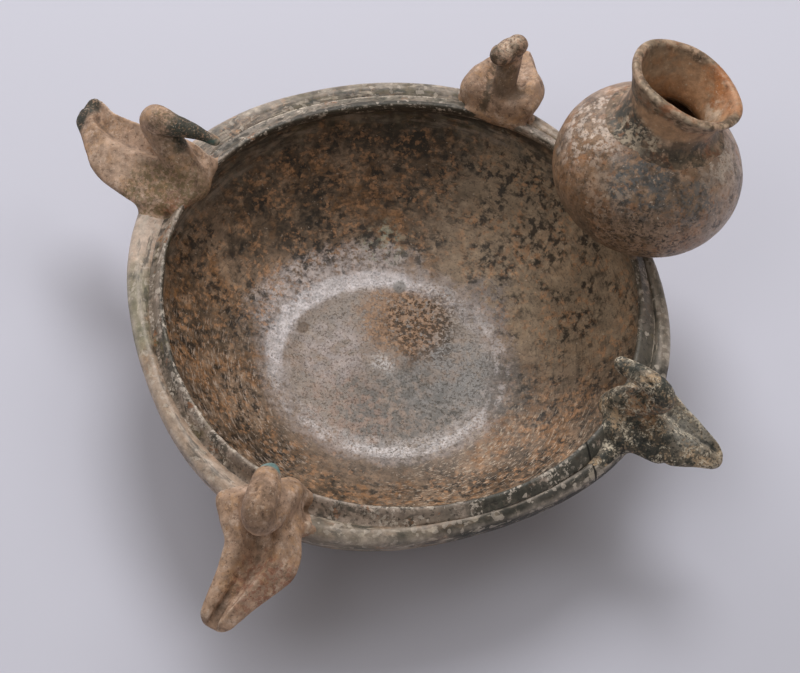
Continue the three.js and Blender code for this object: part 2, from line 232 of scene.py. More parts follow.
def worn_skin_tree():
    """Geometry nodes that soften a shape, then give it slow dents and fine wear along its normals.

    They keep how proud each point stands of what is round it, for the wear on raised points and the darker
    colour in sunk ones.
    """
    tree = bpy.data.node_groups.new("worn_skin", "GeometryNodeTree")
    sides = tree.interface
    sides.new_socket("Geometry", in_out="OUTPUT", socket_type="NodeSocketGeometry")
    sides.new_socket("Geometry", in_out="INPUT", socket_type="NodeSocketGeometry")
    sides.new_socket("Softening", in_out="INPUT", socket_type="NodeSocketInt")
    for socket in ("Dent depth", "Dents per metre", "Wear depth", "Wear marks per metre"):
        sides.new_socket(socket, in_out="INPUT", socket_type="NodeSocketFloat")
    sides.new_socket("Clay", in_out="INPUT", socket_type="NodeSocketMaterial")
    given = add(tree, "NodeGroupInput")
    soft = add(tree, "GeometryNodeBlurAttribute", {
        "Value": add(tree, "GeometryNodeInputPosition"), "Iterations": given.outputs[1]},
        data_type="FLOAT_VECTOR")
    shape = add(tree, "GeometryNodeSetPosition", {"Geometry": given.outputs[0], "Position": soft})
    push = 0.0
    for depth, count in ((2, 3), (4, 5)):
        noise = add(tree, "ShaderNodeTexNoise", {"Scale": given.outputs[count], "Detail": 2.0})
        noise = add(tree, "ShaderNodeMath", {0: noise, 1: 0.5}, operation="SUBTRACT")
        push = add(tree, "ShaderNodeMath", {
            0: noise, 1: given.outputs[depth], 2: push}, operation="MULTIPLY_ADD")
    offset = add(tree, "ShaderNodeVectorMath", {
        0: add(tree, "GeometryNodeInputNormal"), "Scale": push}, operation="SCALE")
    shape = add(tree, "GeometryNodeSetPosition", {"Geometry": shape, "Offset": offset})
    here = add(tree, "GeometryNodeInputPosition")
    around = add(tree, "GeometryNodeBlurAttribute", {"Value": here, "Iterations": 7},
                 data_type="FLOAT_VECTOR")
    proud = add(tree, "ShaderNodeVectorMath", {0: here, 1: around}, operation="SUBTRACT")
    proud = add(tree, "ShaderNodeVectorMath", {
        0: proud, 1: add(tree, "GeometryNodeInputNormal")}, operation="DOT_PRODUCT")
    shape = add(tree, "GeometryNodeStoreNamedAttribute", {
        "Geometry": shape, "Name": "proud", "Value": proud.outputs["Value"]}, data_type="FLOAT")
    shape = add(tree, "GeometryNodeSetShadeSmooth", {0: shape})
    shape = add(tree, "GeometryNodeRealizeInstances", {0: shape})
    shape = add(tree, "GeometryNodeSetMaterial", {0: shape, "Material": given.outputs[6]})
    add(tree, "NodeGroupOutput", {0: shape})
    return tree


worn_skin = worn_skin_tree()


def modified(maker, tree, values):
    """Adds a geometry nodes modifier and sets its inputs, after the geometry, in order."""
    modifier = maker.modifiers.new(tree.name, "NODES")
    modifier.node_group = tree
    inputs = [side for side in tree.interface.items_tree if side.in_out == "INPUT"]
    for side, value in zip(inputs[1:], values):
        modifier[side.identifier] = value


def settled(maker, name, clay):
    """Turns an evaluated shape into a plain piece whose faces point outwards."""
    shape = bpy.data.meshes.new_from_object(
        maker.evaluated_get(bpy.context.evaluated_depsgraph_get()))
    bpy.data.objects.remove(maker)
    shape.vertices.foreach_get("co", flat := np.zeros(len(shape.vertices) * 3))
    corners = flat.reshape(-1, 3)
    shape.calc_loop_triangles()
    triangles = np.zeros(len(shape.loop_triangles) * 3, int)
    shape.loop_triangles.foreach_get("vertices", triangles)
    a, b, c = corners[triangles.reshape(-1, 3)].transpose(1, 0, 2)
    if np.sum(a * np.cross(b, c)) < 0:
        shape.flip_normals()
    shape.name = name
    shape.materials.clear()
    shape.materials.append(clay)
    piece = bpy.data.objects.new(name, shape)
    scene.collection.objects.link(piece)
    return piece


def profile_object(points, closed):
    """A drawn profile as a wire that the turned wall follows: radius, height and any smear."""
    wire = bpy.data.meshes.new("profile")
    edges = [(i, (i + 1) % len(points)) for i in range(len(points) - (0 if closed else 1))]
    wire.from_pydata([(p[0] * MM, sum(p[2:]) * MM, p[1] * MM) for p in points], edges, [])
    maker = bpy.data.objects.new("profile", wire)
    scene.collection.objects.link(maker)
    return maker


RING_CENTRE = (-3, 4, 10)
RING_SQUEEZE = (0.9, 1.04, 1)


def fired_clay(name, ground, burnish, coats):
    """Low-fired, unglazed clay: a ground colour under coats of firing marks, wear and earth.

    A coat is a colour, its roughness, its strength, its relief in millimetres and the masks that
    bound it: a blotch, a stroke of the burnishing pebble or a flake, each with its size and the
    noise levels where it starts and is full; a patch with its middle, radius and edge; a line with
    its ends, as seen from above, and its half width; a band with its middle and half width in
    radius, in height, or round the ring on the floor; and proud, with the millimetres that a point
    stands out, or is sunk, where the mask starts and is full.
    """
    clay = bpy.data.materials.new(name)
    clay.use_nodes = True
    tree = clay.node_tree
    shader = tree.nodes["Principled BSDF"]
    here = add(tree, "ShaderNodeTexCoord").outputs["Object"]
    parts = add(tree, "ShaderNodeSeparateXYZ", {0: here})
    flat = add(tree, "ShaderNodeCombineXYZ", {0: parts.outputs[0], 1: parts.outputs[1]})
    radius = add(tree, "ShaderNodeVectorMath", {0: flat}, operation="LENGTH").outputs["Value"]
    # Strokes run round the bowl, so their noise changes slowly along the turn
    turn = add(tree, "ShaderNodeVectorMath", {0: flat}, operation="NORMALIZE")
    turn = add(tree, "ShaderNodeVectorMath", {0: turn, "Scale": 0.03}, operation="SCALE")
    climb = add(tree, "ShaderNodeMath", {0: radius, 1: parts.outputs[2]}, operation="ADD")
    climb = add(tree, "ShaderNodeCombineXYZ", {2: climb})
    strokes = add(tree, "ShaderNodeVectorMath", {0: turn, 1: climb}, operation="ADD").outputs[0]
    ragged = add(tree, "ShaderNodeTexNoise", {"Vector": here, "Scale": 150.0, "Detail": 5.0})
    ragged = add(tree, "ShaderNodeMath", {0: ragged, 1: 0.5}, operation="SUBTRACT")
    seed, bands = 0, {}

    def step(value, low, high):
        return add(tree, "ShaderNodeMapRange", {0: value, 1: low, 2: high},
                   interpolation_type="SMOOTHSTEP").outputs[0]

    def mask_of(kind, *sizes):
        nonlocal seed
        if kind in ("blotch", "stroke", "flake"):
            seed += 1
            size, low, high = sizes
            moved = add(tree, "ShaderNodeVectorMath", {
                0: strokes if kind == "stroke" else here, 1: (0.37 * seed, 0.21 * seed, 0.13 * seed)},
                operation="ADD")
            if kind == "flake":
                noise = add(tree, "ShaderNodeTexNoise", {"Vector": here, "Scale": 0.8 / (size * MM)})
                moved = add(tree, "ShaderNodeVectorMath", {
                    0: noise.outputs["Color"], 1: [0.8 * size * MM] * 3, 2: moved},
                    operation="MULTIPLY_ADD")
                cells = add(tree, "ShaderNodeTexVoronoi", {"Vector": moved, "Scale": 1 / (size * MM)})
                value = add(tree, "ShaderNodeSeparateXYZ", {0: cells.outputs["Color"]})
            else:
                value = add(tree, "ShaderNodeTexNoise", {
                    "Vector": moved, "Scale": 1 / (size * MM), "Detail": 4.0, "Roughness": 0.6})
            return step(value, low, high)
        if kind == "patch":
            middle, reach, edge = sizes
            away = add(tree, "ShaderNodeVectorMath", {
                0: here, 1: [v * MM for v in middle]}, operation="DISTANCE").outputs["Value"]
            away = add(tree, "ShaderNodeMath", {
                0: ragged, 1: 1.6 * edge * MM, 2: away}, operation="MULTIPLY_ADD")
            return step(away, (reach + edge / 2) * MM, (reach - edge / 2) * MM)
        if kind == "line":
            (start, end), half = (np.array((*size, 0)) * MM for size in sizes[:2]), sizes[2] * MM
            off = add(tree, "ShaderNodeVectorMath", {0: flat, 1: start}, operation="SUBTRACT")
            share = add(tree, "ShaderNodeVectorMath", {
                0: off, 1: (end - start) / np.sum((end - start) ** 2)}, operation="DOT_PRODUCT")
            share = add(tree, "ShaderNodeClamp", {0: share.outputs["Value"]})
            nearest = add(tree, "ShaderNodeVectorMath", {0: end - start, "Scale": share}, operation="SCALE")
            away = add(tree, "ShaderNodeVectorMath", {
                0: off, 1: nearest}, operation="DISTANCE").outputs["Value"]
            away = add(tree, "ShaderNodeMath", {
                0: ragged, 1: 3 * half, 2: away}, operation="MULTIPLY_ADD")
            return step(away, 1.4 * half, 0.6 * half)
        if kind == "proud":
            low, high = sizes
            value = add(tree, "ShaderNodeAttribute", attribute_name="proud").outputs["Fac"]
            value = add(tree, "ShaderNodeMath", {
                0: ragged, 1: (high - low) * MM, 2: value}, operation="MULTIPLY_ADD")
            return step(value, low * MM, high * MM)
        if (kind, *sizes) in bands:
            return bands[kind, *sizes]
        middle, half = sizes
        value = {"radius": radius, "height": parts.outputs[2]}.get(kind)
        if kind == "ring":
            off = add(tree, "ShaderNodeVectorMath", {
                0: here, 1: [v * MM for v in RING_CENTRE]}, operation="SUBTRACT")
            off = add(tree, "ShaderNodeVectorMath", {0: off, 1: RING_SQUEEZE}, operation="MULTIPLY")
            value = add(tree, "ShaderNodeVectorMath", {0: off}, operation="LENGTH").outputs["Value"]
        away = add(tree, "ShaderNodeMath", {0: value, 1: middle * MM}, operation="SUBTRACT")
        away = add(tree, "ShaderNodeMath", {0: away}, operation="ABSOLUTE")
        away = add(tree, "ShaderNodeMath", {
            0: ragged, 1: half * MM, 2: away}, operation="MULTIPLY_ADD")
        bands[kind, middle, half] = step(away, 1.3 * half * MM, 0.7 * half * MM)
        return bands[kind, middle, half]

    colour, rough, height = linear(ground), burnish, 0.0
    for coat, coat_rough, strength, relief, *masks in coats:
        mask = strength
        for kind, *sizes in masks:
            mask = add(tree, "ShaderNodeMath", {0: mask_of(kind, *sizes), 1: mask}, operation="MULTIPLY")
        colour = add(tree, "ShaderNodeMix", {
            0: mask, 6: colour, 7: linear(coat)}, data_type="RGBA").outputs[2]
        rough = add(tree, "ShaderNodeMix", {0: mask, 2: rough, 3: coat_rough}, data_type="FLOAT")
        if relief:
            height = add(tree, "ShaderNodeMath", {0: mask, 1: relief, 2: height}, operation="MULTIPLY_ADD")
    mottle = add(tree, "ShaderNodeTexNoise", {
        "Vector": here, "Scale": 1 / (5 * MM), "Detail": 6.0, "Roughness": 0.75})
    mottle = add(tree, "ShaderNodeMapRange", {0: mottle, 1: 0.3, 2: 0.7, 3: 0.62, 4: 1.42})
    colour = add(tree, "ShaderNodeVectorMath", {0: colour, "Scale": mottle}, operation="SCALE").outputs[0]
    grain = add(tree, "ShaderNodeTexNoise", {"Vector": here, "Scale": 1 / (1.2 * MM), "Detail": 3.0})
    height = add(tree, "ShaderNodeMath", {0: grain, 1: 0.12, 2: height}, operation="MULTIPLY_ADD")
    bump = add(tree, "ShaderNodeBump", {"Height": height, "Distance": MM, "Strength": 1.0})
    tree.links.new(colour, shader.inputs["Base Color"])
    tree.links.new(rough.outputs[0], shader.inputs["Roughness"])
    tree.links.new(bump.outputs[0], shader.inputs["Normal"])
    shader.inputs["IOR"].default_value = 1.5
    return clay


# Bands that keep a coat on the walls, or on the shoulder
WALLS = ("radius", 112, 46)
SHOULDER = ("radius", 137, 13)
# Burnished brown clay: reduction left it black in blotches and oxidation rust in others, over a soft
# shine. Strokes of the pebble show on the walls, and lime from the soil speckles it all.
bowl_clay = fired_clay("burnished_brown_clay", "#8d7560", 0.42, [
    ("#6c5744", 0.45, 0.7, 0, ("blotch", 40, 0.43, 0.57)),
    ("#a3703f", 0.5, 0.6, 0, ("blotch", 24, 0.47, 0.58), ("blotch", 4, 0.36, 0.6)),
    ("#b79a80", 0.45, 0.55, 0, ("blotch", 12, 0.48, 0.62), ("blotch", 3, 0.38, 0.6)),
    ("#3a3025", 0.42, 0.68, 0, WALLS, ("blotch", 22, 0.46, 0.58), ("blotch", 4, 0.34, 0.54)),
    ("#2e271e", 0.42, 0.55, 0, ("patch", (-62, 92, 58), 48, 40), ("blotch", 12, 0.42, 0.54),
     ("blotch", 3, 0.34, 0.56)),
    ("#b39d84", 0.45, 0.7, 0, ("patch", (84, 70, 45), 74, 50)),
    ("#211d15", 0.45, 0.8, 0, ("patch", (-2, 124, 74), 38, 22), ("blotch", 5, 0.36, 0.52)),
    ("#796a5e", 0.34, 0.6, 0, ("patch", (-4, -2, 8), 64, 18)),
    ("#635c57", 0.34, 0.75, 0, ("patch", (30, 0, 9), 26, 18), ("blotch", 7, 0.38, 0.54)),
    ("#4c4338", 0.4, 0.8, 0, ("patch", (8, -28, 9), 32, 18), ("blotch", 4, 0.42, 0.56)),
    ("#93705a", 0.4, 0.6, 0, ("patch", (-22, -28, 9), 24, 16), ("blotch", 4, 0.44, 0.58)),
    ("#a2908b", 0.34, 0.65, 0, ("patch", (-32, 8, 9), 18, 16), ("blotch", 6, 0.38, 0.56)),
    ("#b48b69", 0.55, 0.8, -0.1, ("patch", (2, 32, 9), 22, 16), ("blotch", 2, 0.38, 0.56)),
    ("#42301f", 0.6, 0.8, -0.3, ("patch", (12, 31, 9), 20, 14), ("blotch", 2, 0.5, 0.58)),
    ("#a9ab98", 0.6, 0.75, 0, ("patch", (-12, 72, 17), 12, 8), ("blotch", 4, 0.46, 0.56)),
    ("#8f8786", 0.3, 0.7, 0, ("patch", (45, 44, 13), 15, 14), ("blotch", 4, 0.36, 0.56)),
    # Partly painted highlight: the pale coats on the ring round the floor, strongest to the left and far side
    ("#b0a29d", 0.28, 0.55, 0, ("ring", 55, 8), ("blotch", 3, 0.34, 0.54)),
    ("#645c54", 0.34, 0.75, 0, ("patch", (57, -4, 11), 20, 14), ("blotch", 4, 0.34, 0.54)),
    ("#c8bab6", 0.27, 0.85, 0, ("ring", 62, 12), ("patch", (-40, 50, 10), 46, 30),
     ("blotch", 2.2, 0.34, 0.56)),
    ("#e2dadc", 0.2, 0.85, 0, ("ring", 54, 4.5), ("patch", (-40, 40, 11), 52, 24),
     ("blotch", 1.2, 0.3, 0.54)),
    ("#d3cac9", 0.22, 0.7, 0, ("ring", 55, 3.2), ("blotch", 12, 0.42, 0.56), ("blotch", 1.2, 0.36, 0.56)),
    # Painted highlight: a pale spot in the middle of the floor
    ("#d2c9c6", 0.26, 0.65, 0, ("patch", (-6, 4, 9), 5, 8), ("blotch", 1.4, 0.38, 0.58)),
    ("#6f5a48", 0.5, 0.8, 0.25, ("patch", (-50, 20, 10), 3.2, 1.6)),
    ("#86817c", 0.5, 0.8, 0.3, ("patch", (-1, 52, 11), 3.6, 1.8)),
    ("#272019", 0.42, 0.9, -0.08, WALLS, ("blotch", 20, 0.4, 0.56), ("blotch", 4, 0.46, 0.6)),
    ("#c19068", 0.5, 0.66, 0.03, WALLS, ("blotch", 16, 0.42, 0.58), ("blotch", 3, 0.49, 0.62)),
    ("#d3bfaa", 0.5, 0.65, 0.05, ("patch", (70, -80, 44), 66, 40), ("stroke", 1.4, 0.56, 0.62)),
    ("#c6b2a2", 0.5, 0.6, 0, ("patch", (-92, -50, 44), 60, 40), ("stroke", 1.6, 0.55, 0.62)),
    ("#2a231d", 0.45, 0.4, -0.1, WALLS, ("stroke", 1.9, 0.55, 0.62)),
    ("#241e19", 0.5, 0.4, -0.1, ("blotch", 1.2, 0.56, 0.62)),
    ("#dccab8", 0.65, 0.55, 0.12, ("blotch", 1.6, 0.66, 0.7)),
    ("#766e63", 0.6, 0.8, 0, SHOULDER, ("blotch", 12, 0.38, 0.6)),
    ("#c8b1a0", 0.5, 0.8, 0, ("patch", (-132, 18, 85), 26, 16), SHOULDER),
    ("#858069", 0.5, 0.8, 0, ("patch", (-126, -24, 85), 26, 16), SHOULDER),
    ("#b59c88", 0.5, 0.75, 0, ("patch", (-92, -92, 84), 48, 26), SHOULDER),
    ("#7d7263", 0.65, 0.8, 0, ("patch", (14, -132, 82), 62, 30), SHOULDER, ("stroke", 5, 0.38, 0.54)),
    ("#5c5338", 0.55, 0.6, 0, ("patch", (-26, 124, 85), 58, 24), SHOULDER, ("stroke", 3, 0.44, 0.56)),
    ("#6b6357", 0.5, 0.85, 0, ("patch", (130, 10, 80), 50, 24), SHOULDER),
    ("#b3a294", 0.5, 0.45, 0, SHOULDER, ("stroke", 5, 0.48, 0.62)),
    ("#34342d", 0.5, 0.7, -0.05, SHOULDER, ("stroke", 4, 0.52, 0.62)),
    ("#1f201b", 0.65, 0.88, 0, ("patch", (98, -88, 80), 72, 30), SHOULDER, ("blotch", 7, 0.32, 0.46)),
    ("#c4b7aa", 0.7, 0.5, 0.12, ("height", 86, 14), SHOULDER, ("flake", 2, 0.88, 0.91)),
    ("#c9bba9", 0.7, 0.5, 0.1, ("height", 86, 14), SHOULDER, ("stroke", 2, 0.57, 0.63)),
    ("#cdbfb2", 0.6, 0.6, 0, ("proud", 0.6, 1.1)),
    ("#2a231d", 0.6, 0.8, 0, ("proud", -0.16, -0.5)),
    ("#120f0c", 0.8, 0.95, -0.5, ("line", (95, -70), (104, -90), 0.5), ("height", 86, 14)),
])
base_centre, base_half_way, floor_centre = (0, 0), (23, 0), (0, 9.9)
bowl_profile = [base_centre, base_half_way, *curve_through(OUTSIDE, 70), COLLAR_SEAT,
                *curve_through(INSIDE, 70), floor_centre]
maker = profile_object(bowl_profile, closed=False)
modified(maker, turned_wall_tree("bowl_wall", LIP_WAVES, SHOULDER_WAVES),
         [BOWL_STEPS_ROUND + 1, BOWL_STEPS_ALONG, bowl_clay, 0.0])
# Softening steps, depth of the dents and how many a metre, depth of the wear and its marks a metre
modified(maker, worn_skin, [0, 0.9 * MM, 26.0, 0.35 * MM, 120.0, bowl_clay])
bowl_wall = settled(maker, "bowl_wall", bowl_clay)
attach(bowl_wall, "root")
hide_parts("bowl_body")


# ---- Lip ----
# A coil of the same clay, luted on the inner edge of the shoulder and drawn up thin between finger
# and thumb. Handling has worn its edge to a cream line, and the groove at its foot is coloured darker.
# Radius, height, and how far smeared clay fills the groove behind the lip
COLLAR = [
    (126.8, 82.8, 1.9), (125.4, 83.2, 2.5), (123.6, 84.8, 2.4), (122.3, 87, 1.4), (121.2, 89, 0.5),
    (119.8, 90.3, 0), (118.5, 90.1, 0), (117.9, 88.6, 0), (118.3, 86, 0), (119.6, 83.2, 0),
    (121, 81.3, 0), (123.8, 81.2, 0),
]
SMEAR_BEARING = 28
LIP_STEPS_ALONG = 64
# The same clay, less polished: finger-smoothed, with lime in flakes and darker colour in the hollows
collar_clay = fired_clay("smoothed_lip_clay", "#8d7e71", 0.5, [
    ("#6f665c", 0.5, 0.7, 0, ("stroke", 12, 0.44, 0.58)),
    ("#b5a294", 0.55, 0.7, 0, ("stroke", 6, 0.48, 0.58), ("blotch", 2.6, 0.38, 0.52)),
    ("#4a463c", 0.5, 0.8, -0.05, ("stroke", 6, 0.53, 0.59), ("blotch", 2.8, 0.4, 0.5)),
    ("#6b5f35", 0.55, 0.6, 0, ("stroke", 9, 0.58, 0.64)),
    ("#a06c47", 0.55, 0.6, 0, ("blotch", 9, 0.58, 0.63), ("blotch", 2, 0.42, 0.54)),
    ("#6f6b61", 0.5, 0.6, 0, ("patch", (0, 121, 88), 70, 30), ("blotch", 7, 0.38, 0.5)),
    ("#2e2a20", 0.5, 0.85, 0, ("radius", 115, 3.4), ("blotch", 6, 0.3, 0.44)),
    ("#3b3b34", 0.5, 0.88, 0, ("patch", (100, -70, 86), 62, 30), ("blotch", 6, 0.34, 0.46)),
    ("#5d564c", 0.5, 0.8, 0, ("patch", (120, 10, 86), 46, 24), ("blotch", 6, 0.34, 0.46)),
    ("#2c2822", 0.5, 0.6, -0.1, ("blotch", 2, 0.57, 0.62)),
    ("#d5c8ba", 0.75, 0.75, 0.12, ("stroke", 3, 0.54, 0.6), ("blotch", 1.5, 0.5, 0.57)),
    ("#c4b7aa", 0.7, 0.7, 0.12, ("flake", 2.2, 0.85, 0.88), ("blotch", 9, 0.48, 0.55)),
    ("#d8cab9", 0.7, 0.8, 0, ("proud", 0.16, 0.32), ("blotch", 4, 0.42, 0.53)),
    ("#2a251f", 0.7, 0.75, 0, ("proud", -0.04, -0.1)),
    ("#120f0c", 0.8, 0.95, -0.5, ("line", (93, -67), (104, -90), 0.5)),
    ("#1c1712", 0.8, 0.9, -0.4, ("line", (43, 110), (60, 116), 0.6)),
])
maker = profile_object(curve_through([*COLLAR, COLLAR[0]], LIP_STEPS_ALONG)[:-1], closed=True)
modified(maker, turned_wall_tree("lip", LIP_WAVES, SHOULDER_WAVES),
         [BOWL_STEPS_ROUND + 1, LIP_STEPS_ALONG + 1, collar_clay, math.radians(SMEAR_BEARING)])
modified(maker, worn_skin, [0, 0.9 * MM, 45.0, 0.5 * MM, 190.0, collar_clay])
lip = settled(maker, "lip", collar_clay)
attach(lip, "root")
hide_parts("rim_collar")


# ---- Jug ----
# A small hollow jug, a pinched globe with a short flared neck luted on its top. It leans outwards,
# and its mouth leans a little more. The inside of the mouth is bare orange-brown clay.
JUG_CENTRE = np.array((115.2, 66.8, LIP_HEIGHT + 32.5))
JUG_AXIS = np.array((0.125, 0.17, 0.975))
MOUTH_AXIS = np.array((0.34, 0.2, 0.92))
JUG_RADIUS = 47.6
JUG_HALF_HEIGHT = 39.3
JUG_WALL = 4.5
JUG_HOLE_RADIUS = 17
JUG_SEAT_RADIUS = 21.5
JUG_HOLE_EDGE = [(19.5, 34.4), (17.5, 33.4)]
JUG_STEPS_ROUND, JUG_STEPS_ALONG = 240, 170
NECK_STEPS_ROUND, NECK_STEPS_ALONG = 200, 110
NECK_FOOT = 35.3
MOUTH_HEIGHT = 60.5
JUG_WAVES = [(2, 0.5, -0.3), (3, 0.3, 0.4), (5, -0.25, 0.2)]
NECK = [
    (17, 33.8), (22, 32.6), (27, 31), (30.2, 30), (28.4, 31.8), (25.4, 33.9), (23.4, 37), (22.6, 41),
    (22.8, 45.5), (24.6, 51), (27.2, 55.6), (28.9, 58.2), (28.8, 59.9), (27.2, 60.7), (25.2, 60.2),
    (24, 57.8), (22.8, 53.6), (21.3, 48.8), (19, 43), (17, 37),
]


def unit(direction):
    return direction / np.linalg.norm(direction, axis=-1, keepdims=True)


def leaning(piece):
    """Leans a jug that was turned upright at the origin over to its real axis, its neck further."""
    mesh = piece.data
    mesh.vertices.foreach_get("co", flat := np.zeros(len(mesh.vertices) * 3))
    x, y, height = flat.reshape(-1, 3).T[:, :, None] / MM
    turn = np.clip((height - NECK_FOOT) / (MOUTH_HEIGHT - NECK_FOOT), 0, 1)
    first, last = unit(JUG_AXIS), unit(MOUTH_AXIS)
    axis = unit(first + turn * (last - first))
    lean = unit(first + turn / 2 * (last - first))
    foot = np.minimum(height, NECK_FOOT)
    centre = JUG_CENTRE + first * foot + lean * (height - foot)
    aside = unit(np.cross((1, 0, 0), axis))
    leant = centre + aside * y - np.cross(axis, aside) * x
    mesh.vertices.foreach_set("co", (leant * MM).ravel())
    mesh.update()


def globe(radius, half_height, hole_radius, steps):
    """Points up the wall of a globe, from its bottom to the hole in its top."""
    angles = np.linspace(-math.pi / 2, math.pi / 2 - math.asin(hole_radius / radius), steps)
    return np.stack([radius * np.cos(angles), half_height * np.sin(angles)], 1)


# Burnished clay fired slate grey and brown, under a crust of lime that clings to its upper side. Its
# pale cream patches high on the left and right are partly that crust and partly painted highlight.
jug_clay = fired_clay("burnished_slate_clay", "#987a60", 0.4, [
    ("#78624e", 0.42, 0.7, 0, ("blotch", 24, 0.42, 0.58)),
    ("#a46f47", 0.5, 0.55, 0, ("blotch", 15, 0.46, 0.6), ("blotch", 3.6, 0.36, 0.58)),
    ("#b99c86", 0.42, 0.6, 0.03, ("blotch", 10, 0.48, 0.62), ("blotch", 2.6, 0.38, 0.58)),
    ("#ad9788", 0.36, 0.75, 0, ("patch", (156, 52, 130), 28, 18), ("blotch", 4, 0.34, 0.52)),
    ("#4f565a", 0.38, 0.85, 0, ("patch", (108, 36, 152), 17, 12), ("blotch", 6, 0.36, 0.52),
     ("blotch", 2, 0.34, 0.52)),
    ("#5a6164", 0.38, 0.7, 0, ("patch", (134, 34, 142), 14, 12), ("blotch", 6, 0.4, 0.54),
     ("blotch", 2, 0.36, 0.54)),
    ("#3d3226", 0.45, 0.62, -0.05, ("blotch", 11, 0.51, 0.61), ("blotch", 2.8, 0.4, 0.55)),
    ("#5a4631", 0.42, 0.7, 0, ("patch", (92, 28, 110), 28, 20), ("blotch", 5, 0.34, 0.52)),
    ("#94673f", 0.45, 0.4, 0, ("patch", (76, 42, 138), 14, 10), ("blotch", 4, 0.4, 0.54)),
    # Partly painted highlight: this cream patch and the next, high on the globe, over a crust of lime
    ("#d2bfb1", 0.6, 0.8, 0.1, ("patch", (86, 70, 152), 22, 18), ("blotch", 5, 0.45, 0.54),
     ("blotch", 1.8, 0.34, 0.52)),
    ("#cdbdae", 0.6, 0.75, 0.1, ("patch", (145, 58, 150), 13, 12), ("blotch", 5, 0.42, 0.54),
     ("blotch", 1.6, 0.36, 0.52)),
    ("#b9a18c", 0.6, 0.5, 0.08, ("patch", (94, 34, 142), 13, 12), ("blotch", 3, 0.48, 0.56)),
    ("#a98d78", 0.45, 0.6, 0, ("patch", (116, 20, 118), 26, 14), ("blotch", 3, 0.46, 0.56)),
    ("#261f19", 0.5, 0.8, -0.2, ("patch", (112, 22, 122), 28, 22), ("blotch", 5, 0.44, 0.56),
     ("blotch", 1.4, 0.5, 0.58)),
    ("#2a231d", 0.5, 0.5, -0.12, ("blotch", 1.4, 0.57, 0.64)),
    ("#dccdbd", 0.65, 0.6, 0.12, ("blotch", 1.4, 0.65, 0.7)),
    ("#241e19", 0.6, 0.8, 0, ("proud", -0.15, -0.3)),
])
jug_profile = [*globe(JUG_RADIUS, JUG_HALF_HEIGHT, JUG_SEAT_RADIUS, 60), *JUG_HOLE_EDGE,
               *globe(JUG_RADIUS - JUG_WALL, JUG_HALF_HEIGHT - JUG_WALL, JUG_HOLE_RADIUS + 0.5, 40)[::-1]]
maker = profile_object(jug_profile, closed=False)
modified(maker, turned_wall_tree("jug_wall", JUG_WAVES, JUG_WAVES),
         [JUG_STEPS_ROUND + 1, JUG_STEPS_ALONG, jug_clay, 0.0])
modified(maker, worn_skin, [0, 0.8 * MM, 40.0, 0.3 * MM, 170.0, jug_clay])
jug_globe = settled(maker, "jug_globe", jug_clay)
leaning(jug_globe)
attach(jug_globe, "root")
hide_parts("jug_body")

# The neck was only wiped smooth, so it is rougher, worn to orange clay on its lip and inside. Dark coats
# round its foot are painted shadow, and the orange inside is painted paler for the light that falls into it.
mouth_clay = fired_clay("wiped_neck_clay", "#85705a", 0.55, [
    ("#6f5742", 0.6, 0.7, 0, ("blotch", 18, 0.42, 0.58)),
    ("#c0a086", 0.6, 0.7, 0.05, ("blotch", 9, 0.47, 0.6), ("blotch", 2.8, 0.36, 0.54)),
    ("#985a32", 0.6, 0.55, 0, ("blotch", 12, 0.5, 0.6), ("blotch", 3.4, 0.36, 0.56)),
    ("#453829", 0.6, 0.75, -0.05, ("blotch", 7, 0.5, 0.6), ("blotch", 2.2, 0.4, 0.54)),
    # Painted shadow: this dark grey coat and the two after the next one darken the foot of the neck
    ("#454640", 0.5, 0.88, 0, ("patch", (100, 62, 168), 14, 8), ("blotch", 3, 0.36, 0.52)),
    ("#cbb9a2", 0.6, 0.8, 0.08, ("patch", (103, 52, 164), 13, 8), ("blotch", 3, 0.46, 0.55)),
    ("#37332c", 0.5, 0.75, 0, ("patch", (114, 45, 156), 13, 9), ("blotch", 3, 0.38, 0.54)),
    ("#3c3a33", 0.5, 0.65, 0, ("patch", (133, 50, 160), 10, 8), ("blotch", 3, 0.42, 0.56)),
    # Painted light, partly real: the inside of the neck is orange-brown clay, painted paler for the light
    # falling into it
    ("#b18c6c", 0.6, 0.94, 0, ("patch", (122.7, 75.7, 172), 24.2, 1.6)),
    ("#a08d78", 0.6, 0.7, 0, ("patch", (112, 92, 172), 16, 14), ("blotch", 6, 0.36, 0.58)),
    ("#a9652f", 0.6, 0.7, 0, ("patch", (146, 84, 172), 15, 12), ("blotch", 6, 0.36, 0.58)),
    ("#9a683c", 0.6, 0.5, 0, ("patch", (121, 80, 154), 16, 10)),
    ("#d6c3ae", 0.6, 0.65, 0.03, ("patch", (141, 76, 163), 7, 6), ("blotch", 4, 0.36, 0.54)),
    ("#b98763", 0.6, 0.75, 0, ("patch", (152, 78, 174), 12, 8), ("blotch", 4, 0.36, 0.54)),
    ("#c9bba8", 0.7, 0.5, 0.1, ("blotch", 1.5, 0.63, 0.68)),
    ("#cdb79e", 0.6, 0.6, 0, ("proud", 0.2, 0.45), ("blotch", 8, 0.42, 0.58)),
    ("#2a211a", 0.6, 0.8, 0, ("proud", -0.09, -0.16)),
])
maker = profile_object(curve_through([*NECK, NECK[0]], NECK_STEPS_ALONG)[:-1], closed=True)
modified(maker, turned_wall_tree("neck_wall", JUG_WAVES, JUG_WAVES),
         [NECK_STEPS_ROUND + 1, NECK_STEPS_ALONG + 1, mouth_clay, 0.0])
modified(maker, worn_skin, [0, 0.7 * MM, 70.0, 0.35 * MM, 240.0, mouth_clay])
jug_mouth = settled(maker, "jug_mouth", mouth_clay)
leaning(jug_mouth)
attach(jug_mouth, "root")
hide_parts("jug_neck")


